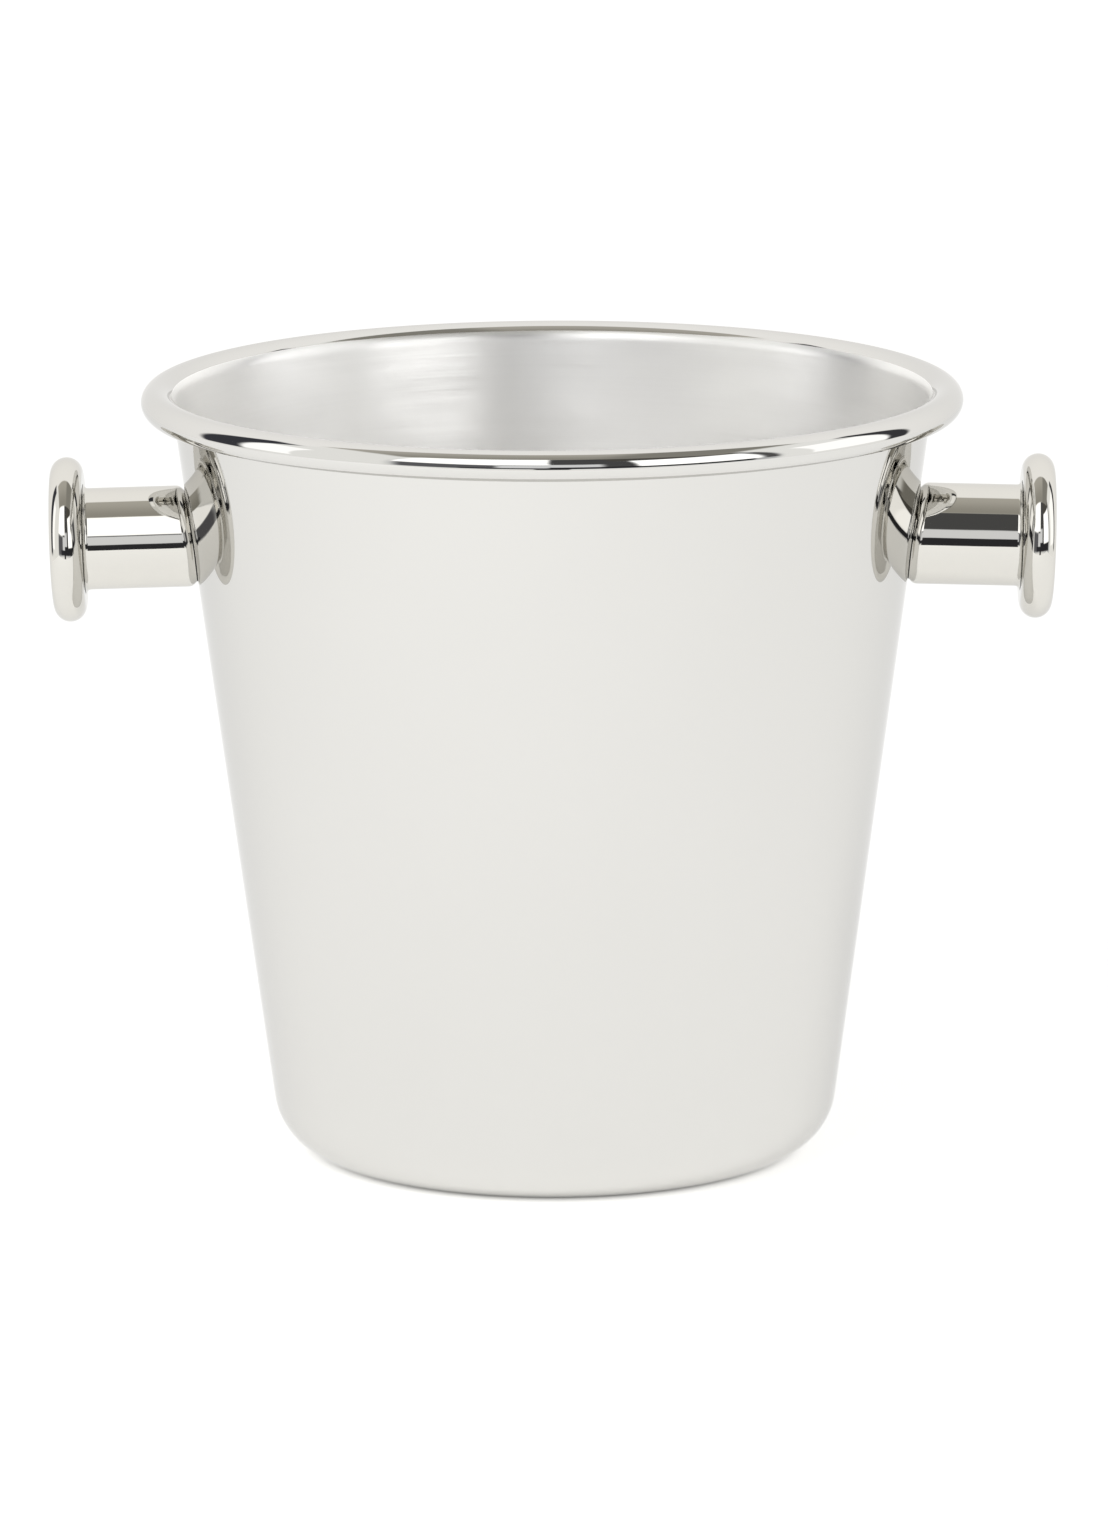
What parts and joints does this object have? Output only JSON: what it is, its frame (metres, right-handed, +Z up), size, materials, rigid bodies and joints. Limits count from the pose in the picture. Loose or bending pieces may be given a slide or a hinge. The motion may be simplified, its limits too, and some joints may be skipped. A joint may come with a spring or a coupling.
{
  "type": "champagne bucket",
  "caption": "Tapered polished steel champagne bucket with a rolled rim and a spool-shaped knob on each side to lift it by.",
  "frame": {"origin": "centre of the bottom, on the surface the bucket stands on", "axes": "+Z up along the bucket's axis; +X along the two knobs"},
  "size_m": [0.245, 0.2, 0.1898],
  "materials": {
    "polished_steel": "mirror-polished stainless steel outside, satin-brushed inside",
    "turned_steel": "turned stainless steel, fine tool marks",
    "seat_plastic": "matt black nylon",
    "silicone": "translucent grey food-grade silicone"
  },
  "bodies": {
    "root": {"bucket_shell": "polished_steel", "right_grip_barrel": "polished_steel", "right_end_flange": "polished_steel", "right_threaded_core": "turned_steel", "right_seat_washer": "seat_plastic", "right_inner_gasket": "silicone", "right_inner_washer": "turned_steel", "right_fixing_screw": "turned_steel", "left_grip_barrel": "polished_steel", "left_end_flange": "polished_steel", "left_threaded_core": "turned_steel", "left_seat_washer": "seat_plastic", "left_inner_gasket": "silicone", "left_inner_washer": "turned_steel", "left_fixing_screw": "turned_steel"}
  },
  "joints": []
}
